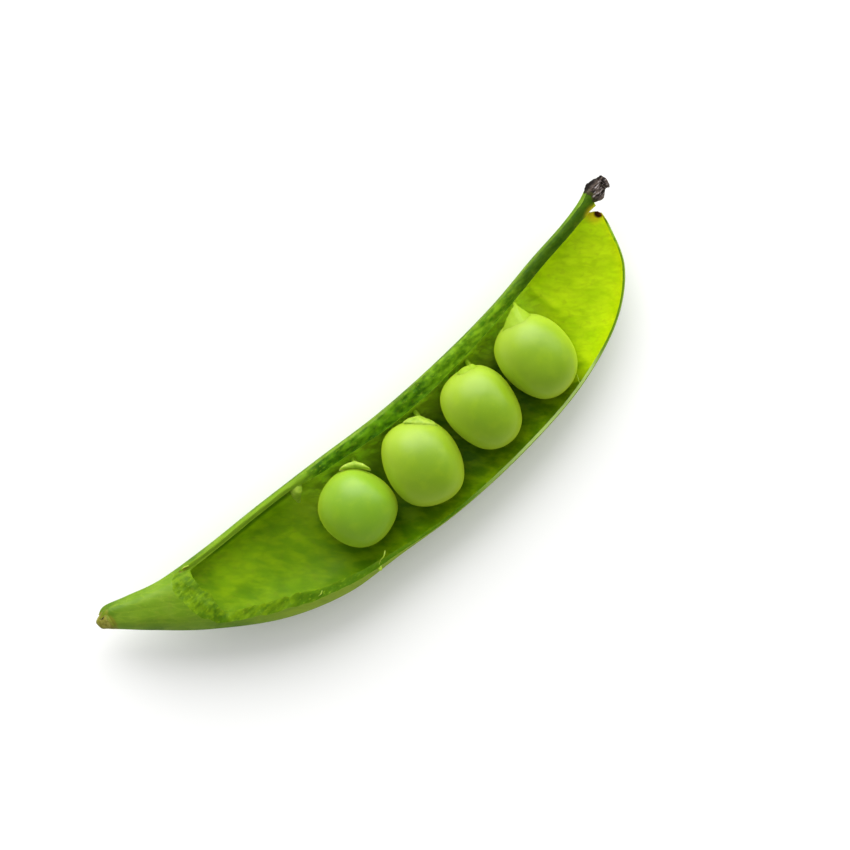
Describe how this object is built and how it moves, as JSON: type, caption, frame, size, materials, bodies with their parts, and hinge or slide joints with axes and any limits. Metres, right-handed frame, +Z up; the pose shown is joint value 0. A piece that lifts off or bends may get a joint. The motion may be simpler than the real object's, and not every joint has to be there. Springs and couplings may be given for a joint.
{
  "type": "pea pod",
  "caption": "Open garden pea pod lying on its back, one valve sliced away to show round green peas on short stalks along the ventral seam.",
  "frame": {"origin": "under the middle of the pod, on the surface that its rounded back rests on", "axes": "+X along the pod from the stem end to the style end, +Y towards the ventral seam that carries the peas, +Z up out of the open side"},
  "size_m": [0.0834, 0.02, 0.0111],
  "materials": {
    "pod": "satin",
    "pea": "satin",
    "funicle": "satin",
    "stem": "matte",
    "style": "matte"
  },
  "bodies": {
    "root": {"pod_shell": "pod", "pea_1": "pea", "pea_2": "pea", "pea_3": "pea", "pea_4": "pea", "funicle_1": "funicle", "funicle_2": "funicle", "funicle_3": "funicle", "funicle_4": "funicle", "undeveloped_seed": "funicle", "stem_stub": "stem", "dried_style": "style"}
  },
  "joints": []
}
